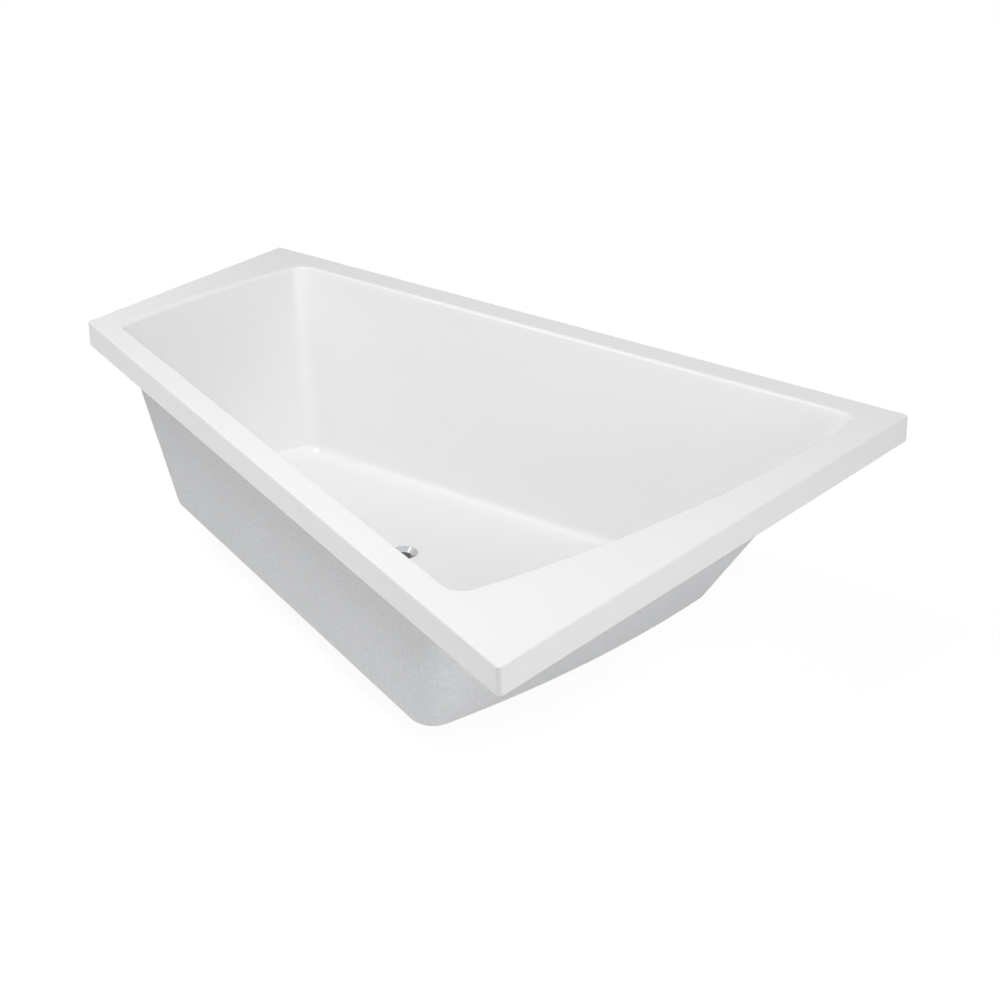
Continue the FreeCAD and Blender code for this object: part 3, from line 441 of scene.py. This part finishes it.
def zinc_plate(tints):
    """Bright zinc plate on turned steel: pale grey with a soft sheen and faint stains."""
    material, tree, shader = finish("zinc_plate", Metallic=1)
    stains = noise(tree, grain=9, detail=3)
    shade(tree, shader, stains, darker(tints.zinc, ZINC_SHADE), tints.zinc)
    rough_between(tree, shader, stains, 0.26, 0.42)
    return material


def galvanised_sheet(tints):
    """Hot dipped sheet steel: flat zinc crystals, 6 to 12 mm across, that catch the light apart."""
    material, tree, shader = finish("galvanised_sheet", Metallic=1)
    crystals = flakes(tree, grain=9)
    tone = add(tree, "ShaderNodeSeparateColor", {"Color": crystals["Color"]}).outputs
    shade(tree, shader, tone["Green"], tints.galvanised_dark, tints.galvanised_light)
    rough_between(tree, shader, tone["Red"], 0.3, 0.48)
    return material


def moulded_polyethylene(tints):
    """Moulded polyethylene foot pads: black, tough and matt, with a coarse grained skin."""
    material, tree, shader = finish("moulded_polyethylene", Base_Color=opaque(tints.pad),
                                    Roughness=0.55, IOR=1.51)
    roughen(tree, shader, noise(tree, grain=1.5), depth=0.08, strength=0.6)
    return material


def seen_directly(tree):
    """One for rays from the camera, from mirrors and through glass, nought for light itself."""
    rays = add(tree, "ShaderNodeLightPath").outputs
    seen = rays["Is Camera Ray"]
    for kind in ("Is Glossy Ray", "Is Transmission Ray"):
        seen = add(tree, "ShaderNodeMath", {0: seen, 1: rays[kind]},
                   operation="MAXIMUM").outputs["Value"]
    return seen


def studio_floor(tint, studio):
    """Matt studio floor that the camera sees as white, with the tub's soft shadow on it.

    The white is that of the sky seen through it and a little glow, which rises away from the
    tub, where the lamps reach the floor less. A foot that is run out shows through it too.
    """
    material = bpy.data.materials.new("studio_floor")
    material.use_nodes = True
    tree = material.node_tree
    tree.nodes.clear()
    white = add(tree, "ShaderNodeMath", {0: seen_directly(tree), 1: 1 - studio.shadow_share},
                operation="MULTIPLY").outputs["Value"]
    own = add(tree, "ShaderNodeBsdfDiffuse", {"Color": opaque(tint)}).outputs["BSDF"]
    away = add(tree, "ShaderNodeVectorMath", {0: own_place(tree)},
               operation="LENGTH").outputs["Value"]
    level = spread(tree, away, low=studio.near, high=studio.far,
                   start=studio.glow_near, end=studio.glow_far)
    glow = add(tree, "ShaderNodeEmission", {"Strength": level}).outputs["Emission"]
    beyond = add(tree, "ShaderNodeBsdfTransparent").outputs["BSDF"]
    clear = add(tree, "ShaderNodeAddShader", {0: beyond, 1: glow}).outputs["Shader"]
    both = add(tree, "ShaderNodeMixShader", {"Fac": white, 1: own, 2: clear})
    add(tree, "ShaderNodeOutputMaterial", {"Surface": both.outputs["Shader"]})
    return material


def studio_sky(strength, top):
    """Soft light, strongest at the horizon, that the camera and the chrome see as white."""
    world = bpy.data.worlds.new("studio_sky")
    world.use_nodes = True
    tree = world.node_tree
    tree.nodes.clear()
    way = add(tree, "ShaderNodeTexCoord").outputs["Generated"]
    height = add(tree, "ShaderNodeSeparateXYZ", {"Vector": way}).outputs["Z"]
    light = spread(tree, height, high=top, start=strength, end=0)
    level = spread(tree, seen_directly(tree), start=light)
    sky = add(tree, "ShaderNodeBackground", {"Color": opaque((1, 1, 1)), "Strength": level})
    add(tree, "ShaderNodeOutputWorld", {"Surface": sky.outputs["Background"]})
    return world


# Modelling steps


def take(*pieces):
    """Select only these pieces, the last one active."""
    bpy.ops.object.select_all(action="DESELECT")
    for piece in pieces:
        piece.select_set(True)
    if pieces:
        bpy.context.view_layer.objects.active = pieces[-1]


def place_here(piece):
    """Move a piece's place and turn into its mesh."""
    take(piece)
    bpy.ops.object.transform_apply(location=True, rotation=True, scale=True)
    return piece


def pick(piece, kind, chosen):
    """Open a piece in edit mode with only the edges or faces that a test chooses."""
    take(piece)
    bpy.ops.object.mode_set(mode="EDIT")
    bpy.ops.mesh.select_mode(type=kind)
    bpy.ops.mesh.select_all(action="DESELECT")
    form = bmesh.from_edit_mesh(piece.data)
    for item in form.faces if kind == "FACE" else form.edges:
        if chosen(item):
            item.select_set(True)
    bmesh.update_edit_mesh(piece.data)


def close():
    """Leave edit mode."""
    bpy.ops.object.mode_set(mode="OBJECT")


def upward(face):
    """Test for the faces that look up."""
    return face.normal.z > LEVEL_NORMAL


def downward(face):
    """Test for the faces that look down."""
    return face.normal.z < -LEVEL_NORMAL


def flat_edge(edge):
    """Test for the edges that lie level, at any height."""
    return abs(edge.verts[0].co.z - edge.verts[1].co.z) < SAME_LEVEL


def level_edge(level):
    """Test for the edges that lie at a level."""
    return lambda edge: all(abs(vertex.co.z - level) < SAME_LEVEL for vertex in edge.verts)


def cylinder(radius, low, high, sides, turn=0.0):
    """Upright cylinder or prism about the origin, between two levels."""
    take()
    bpy.ops.mesh.primitive_cylinder_add(vertices=sides, radius=radius, depth=high - low,
                                        location=(0, 0, (low + high) / 2), rotation=(0, 0, turn))
    return place_here(bpy.context.object)


def block(size, centre):
    """Box of a size about a centre."""
    take()
    bpy.ops.mesh.primitive_cube_add(size=1, location=centre, scale=size)
    return place_here(bpy.context.object)


def bevel(piece, width, segments, chosen):
    """Round the edges that a test picks, or chamfer them with one segment."""
    pick(piece, "EDGE", chosen)
    bpy.ops.mesh.bevel(offset=width, segments=segments, affect="EDGES")
    close()
    return piece


def raise_to(rise, scale=1.0, centre=(0, 0, 0)):
    """Extrude the picked face up or down, and scale it about a centre."""
    bpy.ops.mesh.extrude_region_move(TRANSFORM_OT_translate={"value": (0, 0, rise)})
    bpy.ops.transform.resize(value=(scale, scale, 1), center_override=centre)


def combine(piece, tool, operation):
    """Apply a boolean with a tool, which is used up."""
    take(piece)
    bpy.ops.object.modifier_add(type="BOOLEAN")
    modifier = piece.modifiers[-1]
    modifier.operation = operation
    modifier.object = tool
    bpy.ops.object.modifier_apply(modifier=modifier.name)
    take(tool)
    bpy.ops.object.delete()
    return piece


def join(pieces):
    """Join pieces into the last one."""
    take(*pieces)
    bpy.ops.object.join()
    return bpy.context.object


def repeat(piece, moves):
    """Copies of a piece, each moved by a matrix, joined into one."""
    copies = []
    for move in moves:
        copy = bpy.data.objects.new(piece.name, piece.data.copy())
        bpy.context.scene.collection.objects.link(copy)
        copy.data.transform(move)
        copies.append(copy)
    take(piece)
    bpy.ops.object.delete()
    return join(copies)


def spaced(number, move):
    """Turns about the upright axis, evenly spaced, each after a move."""
    return [Matrix.Rotation(2 * math.pi * index / number, 4, "Z") @ move
            for index in range(number)]


def settle(piece, name, body, slot, material, *stands_for):
    """Name and dress a finished piece, tie it to its body and let it stand for its nodes."""
    place_here(piece)
    bpy.ops.object.mode_set(mode="EDIT")
    bpy.ops.mesh.select_all(action="SELECT")
    bpy.ops.mesh.remove_doubles(threshold=SAME_VERTEX)
    bpy.ops.mesh.normals_make_consistent(inside=False)
    close()
    bpy.ops.object.shade_smooth_by_angle(angle=SMOOTH_TURN)
    piece.name = piece.data.name = name
    piece.data.materials.clear()
    piece.data.materials.append(material)
    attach(piece, body)
    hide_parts(*stands_for)
    return piece


def dress(material, *names):
    """Give CAD nodes a finish."""
    for name in names:
        slots = nodes[name].material_slots
        if slots:
            slots[0].material = material
        else:
            nodes[name].data.materials.append(material)


def upright(name):
    """Foot of the axis, radius and height of a round node that stands upright."""
    low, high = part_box(name)
    middle = (low + high) / 2
    return Vector((middle.x, middle.y, low.z)), (high.x - low.x) / 2, high.z - low.z


def loose_parts(name):
    """Lowest and highest corner of each separate solid in a node."""
    form = bmesh.new()
    form.from_mesh(nodes[name].data)
    bmesh.ops.remove_doubles(form, verts=form.verts, dist=SAME_VERTEX)
    left = set(form.verts)
    boxes = []
    while left:
        found, ahead = set(), [left.pop()]
        while ahead:
            vertex = ahead.pop()
            found.add(vertex.co.copy().freeze())
            for edge in vertex.link_edges:
                other = edge.other_vert(vertex)
                if other in left:
                    left.remove(other)
                    ahead.append(other)
        boxes.append([Vector(pick_one(place[axis] for place in found) for axis in range(3))
                      for pick_one in (min, max)])
    form.free()
    return boxes


def widest_face(name):
    """Centre and normal of a node's widest flat face."""
    mesh = nodes[name].data
    areas, sums = {}, {}
    for face in mesh.polygons:
        key = (*(round(part, 2) for part in face.normal), round(face.normal.dot(face.center), 4))
        areas[key] = areas.get(key, 0) + face.area
        sums[key] = sums.get(key, Vector()) + face.center * face.area
    key = max(areas, key=areas.get)
    return sums[key] / areas[key], Vector(key[:3]).normalized()


def thread(radius, height, sizes):
    """Helical ridge about the upright axis, from its start at the origin's level."""
    pitch = sizes.pitch
    size = (sizes.thread_depth + sizes.thread_sink) / TRIANGLE_HEIGHT
    place = (radius - size, 0, pitch / 2)
    take()
    bpy.ops.mesh.primitive_circle_add(vertices=3, radius=size, location=place,
                                      rotation=(-math.pi / 2, -math.pi / 2, 0))
    ridge = place_here(bpy.context.object)
    bpy.ops.object.mode_set(mode="EDIT")
    bpy.ops.mesh.select_all(action="SELECT")
    stretch = sizes.thread_share * pitch / (size * TRIANGLE_SIDE)
    bpy.ops.transform.resize(value=(1, 1, stretch), center_override=place)
    close()
    bpy.ops.object.modifier_add(type="SCREW")
    screw = ridge.modifiers[-1]
    screw.axis = "Z"
    screw.screw_offset = pitch
    screw.iterations = int(height / pitch) - 1
    screw.steps = screw.render_steps = THREAD_STEPS
    bpy.ops.object.modifier_apply(modifier=screw.name)
    bpy.ops.object.mode_set(mode="EDIT")
    bpy.ops.mesh.select_all(action="SELECT")
    bpy.ops.mesh.fill_holes(sides=3)
    close()
    return ridge


def pan_head_screw(head, height, shank, reach, point, sizes):
    """Screw with a rounded head above level 0, a cross recess, and its shank below."""
    screw = cylinder(head, 0, height, HEAD_SIDES)
    bevel(screw, sizes.head_round, 4, level_edge(height))
    pick(screw, "FACE", downward)
    bpy.ops.mesh.inset(thickness=head - shank)
    raise_to(point - reach)
    if point:
        raise_to(-point, sizes.screw_tip, (0, 0, -reach))
    close()
    for turn in (0, math.pi / 2):
        bar = block((2 * sizes.recess_reach * head, sizes.recess, height), (0, 0, height))
        pick(bar, "FACE", downward)
        bpy.ops.transform.resize(value=(sizes.recess_length, sizes.recess_width, 1),
                                 center_override=(0, 0, height / 2))
        close()
        bar.rotation_euler.z = turn
        combine(screw, place_here(bar), "DIFFERENCE")
    return screw


def foot_pad(radius, height, socket, sizes):
    """Moulded pad: a chamfered edge, a cone up to the boss, the rod's socket, and ribs."""
    pad = cylinder(radius, 0, sizes.pad_rim, PAD_SIDES)
    pick(pad, "FACE", upward)
    raise_to(height - sizes.pad_rim, sizes.pad_boss / radius, (0, 0, height))
    bpy.ops.mesh.inset(thickness=sizes.pad_boss - socket)
    raise_to(-height / 2)
    close()
    bevel(pad, sizes.pad_chamfer, 1, level_edge(0))

    inner, outer = sizes.pad_boss - sizes.pad_rib_root, radius - sizes.pad_rib_margin
    foot, top = sizes.pad_rim / 2, height - sizes.pad_rib_round
    middle = Vector((inner + outer, 0, foot + top)) / 2
    rib = block((outer - inner, sizes.pad_rib, top - foot), middle)

    def upper(edge):
        return all(vertex.co.z > middle.z for vertex in edge.verts)

    def outer_end(edge):
        return upper(edge) and all(vertex.co.x > middle.x for vertex in edge.verts)

    pick(rib, "EDGE", outer_end)
    bpy.ops.transform.translate(value=(0, 0, sizes.pad_rim + sizes.pad_rib_end - top))
    close()
    bevel(rib, sizes.pad_rib_round, 2,
          lambda edge: all(vertex.co.z > sizes.pad_rim for vertex in edge.verts))
    return join([repeat(rib, spaced(sizes.pad_ribs, Matrix())), pad])


class BATH_OT_shell(Operator):
    """Acrylic shell with its glass fibre coat, board and battens"""

    bl_idname = "bath.shell"
    bl_label = "Shell, coat and board"

    def execute(self, context):
        tints = context.scene.bath_finish
        dress(cast_acrylic(tints), "tub_shell")
        dress(sprayed_glass_fibre(tints), "reinforcement_shell")
        dress(chipboard(tints), "base_board")
        front = Vector(mounts["front_panel"]["axis"])
        slant = math.atan2(-front.x, -front.y)
        for name, turn in (("batten_back", 0), ("batten_front", slant),
                           ("batten_narrow", math.pi / 2), ("batten_wide", math.pi / 2)):
            dress(sawn_spruce(tints, turn), name)
        return {"FINISHED"}


class BATH_OT_waste(Operator):
    """Waste flange, seals, body and push plug"""

    bl_idname = "bath.waste"
    bl_label = "Waste and plug"

    def execute(self, context):
        tints = context.scene.bath_finish
        dress(chrome_plate(tints), "waste_flange")
        dress(nitrile_rubber(tints), "seat_seal", "waste_seal", "plug_seal")
        dress(moulded_polypropylene(tints), "waste_body")
        # The plug's dark finish is painted shade, standing for the shade deep in the drain's hole.
        dress(moulded_abs(tints), "plug_head", "plug_cartridge")
        dress(zinc_plate(tints), "plug_stem")
        return {"FINISHED"}


class BATH_OT_trap(Operator):
    """Trap, with grip ribs on its cup and on the union nut"""

    bl_idname = "bath.trap"
    bl_label = "Trap"

    def execute(self, context):
        tints = context.scene.bath_finish
        sizes = context.scene.bath_hardware
        white = moulded_polypropylene(tints)
        black = nitrile_rubber(tints)
        dress(white, "trap_body", "trap_cup", "union_nut")
        dress(black, "trap_seal", "union_gasket")

        base, radius, height = upright("trap_cup")
        rib = cylinder(sizes.rib, 2 * sizes.rib, height - sizes.rib, RIB_SIDES)
        bevel(rib, sizes.rib / 2, 2, level_edge(2 * sizes.rib))
        ribs = repeat(rib, spaced(sizes.cup_ribs, Matrix.Translation((radius, 0, 0))))
        ribs.location = base
        settle(ribs, "trap_cup_ribs", "tub", "pipe_plastic", white)

        low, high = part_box("union_nut")
        radius = (high.x - low.x) / 2
        reach = (high.y - low.y) / 2 - sizes.rib
        rib = cylinder(sizes.rib, -reach, reach, RIB_SIDES)
        bevel(rib, sizes.rib / 2, 2, level_edge(reach))
        ribs = repeat(rib, spaced(sizes.nut_ribs, Matrix.Translation(
            (radius - sizes.rib / 2, 0, 0))))
        ribs.location = (low + high) / 2
        ribs.rotation_euler.x = math.pi / 2
        settle(ribs, "union_nut_ribs", "tub", "pipe_plastic", white)
        return {"FINISHED"}


class BATH_OT_overflow(Operator):
    """Overflow cover and body, and the cover's screw with a cross recess"""

    bl_idname = "bath.overflow"
    bl_label = "Overflow"

    def execute(self, context):
        tints = context.scene.bath_finish
        sizes = context.scene.bath_hardware
        chrome = chrome_plate(tints)
        dress(chrome, "overflow_cover")
        dress(nitrile_rubber(tints), "overflow_seal")
        dress(moulded_polypropylene(tints), "overflow_body")

        top, axis = widest_face("overflow_screw")
        places = [vertex.co for vertex in nodes["overflow_screw"].data.vertices]
        depths = [(top - place).dot(axis) for place in places]
        radii = [(place - top).cross(axis).length for place in places]
        head = max(radii)
        height = max(depth for depth, radius in zip(depths, radii) if radius > ON_HEAD * head)
        shank = max(radius for depth, radius in zip(depths, radii) if depth > ON_SHANK * height)
        screw = pan_head_screw(head, height, shank, max(depths) - height, 0, sizes)
        screw.rotation_euler = axis.to_track_quat("Z", "Y").to_euler()
        screw.location = top - axis * height
        settle(screw, "overflow_cover_screw", "tub", "waste_chrome", chrome, "overflow_screw")
        return {"FINISHED"}


class BATH_OT_rails(Operator):
    """Galvanised rails, and the pan head screws that hold them to the board"""

    bl_idname = "bath.rails"
    bl_label = "Rails and screws"

    def execute(self, context):
        tints = context.scene.bath_finish
        sizes = context.scene.bath_hardware
        dress(galvanised_sheet(tints), "rail_narrow", "rail_wide")

        spots = loose_parts("rail_screws")
        low, high = spots[0]
        head = (high.x - low.x) / 2
        height = sizes.pan_height * head
        screw = pan_head_screw(head, height, sizes.wood_shank * head, high.z - low.z - height,
                               head, sizes)
        screw.rotation_euler.x = math.pi
        place_here(screw)
        moves = [Matrix.Translation(((low.x + high.x) / 2, (low.y + high.y) / 2, low.z + height))
                 for low, high in spots]
        settle(repeat(screw, moves), "rail_wood_screws", "tub", "rail_steel",
               zinc_plate(tints), "rail_screws")
        return {"FINISHED"}


class BATH_OT_feet(Operator):
    """Threaded rods, chamfered nuts and moulded pads of the feet"""

    bl_idname = "bath.feet"
    bl_label = "Feet"

    def execute(self, context):
        tints = context.scene.bath_finish
        sizes = context.scene.bath_hardware
        zinc = zinc_plate(tints)
        galvanised = galvanised_sheet(tints)
        pad = moulded_polyethylene(tints)
        for number in feet:
            body = f"foot_{number}"
            base, radius, height = upright(f"foot_rod_{number}")
            core = cylinder(radius - sizes.thread_depth, 0, height, ROD_SIDES)
            bevel(core, sizes.thread_depth / 2, 1, level_edge(height))
            rod = join([thread(radius, height, sizes), core])
            rod.location = base
            settle(rod, f"threaded_rod_{number}", body, "rod_steel", zinc, f"foot_rod_{number}")

            base, edge, height = upright(f"foot_pad_{number}")
            moulded = foot_pad(edge, height, radius, sizes)
            moulded.location = base
            settle(moulded, f"moulded_pad_{number}", body, "pad_plastic", pad,
                   f"foot_pad_{number}")

            for kind, material, slot in (("lock_nut", zinc, "rod_steel"),
                                         ("weld_nut", galvanised, "rail_steel")):
                base, corner, height = upright(f"{kind}_{number}")
                nut = cylinder(corner, 0, height, HEXAGON, math.pi / HEXAGON)
                turned = cylinder(corner, 0, height, NUT_SIDES)
                bevel(turned, sizes.nut_chamfer, 1, flat_edge)
                combine(nut, turned, "INTERSECT")
                bore = cylinder(radius, -corner, height + corner, ROD_SIDES)
                combine(nut, bore, "DIFFERENCE")
                nut.location = base
                settle(nut, f"{kind}_hexagon_{number}", "tub", slot, material,
                       f"{kind}_{number}")
        return {"FINISHED"}


class BATH_OT_studio(Operator):
    """White studio, soft lamps and the camera"""

    bl_idname = "bath.studio"
    bl_label = "Studio and camera"

    def execute(self, context):
        studio = context.scene.bath_studio
        tints = context.scene.bath_finish
        scene = context.scene
        scene.view_settings.view_transform = "Standard"
        scene.world = studio_sky(studio.sky, studio.sky_top)

        take()
        bpy.ops.mesh.primitive_plane_add(size=studio.floor_width,
                                         location=(0, 0, cad_box[0].z - studio.floor_gap))
        ground = bpy.context.object
        ground.name = "studio_floor"
        ground.data.materials.append(studio_floor(tints.floor, studio))

        centre = Vector((0, 0, cad_box[1].z))
        for name, (place, width) in LAMPS.items():
            bpy.ops.object.light_add(type="AREA", location=place)
            lamp = bpy.context.object
            lamp.name = f"{name}_lamp"
            lamp.data.energy = getattr(studio, name)
            lamp.data.size = width
            lamp.rotation_euler = (centre - lamp.location).to_track_quat("-Z", "Y").to_euler()

        level = math.cos(studio.elevation)
        away = Vector((math.sin(studio.azimuth) * level, -math.cos(studio.azimuth) * level,
                       math.sin(studio.elevation)))
        bpy.ops.object.camera_add(location=Vector(studio.aim) + away * studio.distance)
        camera = bpy.context.object
        camera.rotation_euler = ((-away).to_track_quat("-Z", "Y").to_matrix()
                                 @ Matrix.Rotation(studio.roll, 3, "Z")).to_euler()
        camera.data.lens = studio.lens
        camera.data.sensor_width = studio.sensor
        scene.camera = camera
        return {"FINISHED"}


class BATH_PT_sidebar(Panel):
    """Steps that finish the bathtub"""

    bl_idname = "BATH_PT_sidebar"
    bl_label = "Bathtub"
    bl_space_type = "VIEW_3D"
    bl_region_type = "UI"
    bl_category = "Bathtub"

    def draw(self, context):
        for step in STEPS:
            self.layout.operator(step.bl_idname)
        for group in (context.scene.bath_finish, context.scene.bath_hardware,
                      context.scene.bath_studio):
            for name in group.__annotations__:
                self.layout.prop(group, name)


STEPS = (BATH_OT_shell, BATH_OT_waste, BATH_OT_trap, BATH_OT_overflow, BATH_OT_rails,
         BATH_OT_feet, BATH_OT_studio)
CLASSES = (BathFinish, BathHardware, BathStudio, *STEPS, BATH_PT_sidebar)


def register():
    for item in CLASSES:
        bpy.utils.register_class(item)
    bpy.types.Scene.bath_finish = PointerProperty(type=BathFinish)
    bpy.types.Scene.bath_hardware = PointerProperty(type=BathHardware)
    bpy.types.Scene.bath_studio = PointerProperty(type=BathStudio)


def unregister():
    del bpy.types.Scene.bath_studio
    del bpy.types.Scene.bath_hardware
    del bpy.types.Scene.bath_finish
    for item in reversed(CLASSES):
        bpy.utils.unregister_class(item)


def main():
    register()
    bpy.ops.bath.shell()
    bpy.ops.bath.waste()
    bpy.ops.bath.trap()
    bpy.ops.bath.overflow()
    bpy.ops.bath.rails()
    bpy.ops.bath.feet()
    bpy.ops.bath.studio()


if __name__ == "__main__":
    main()
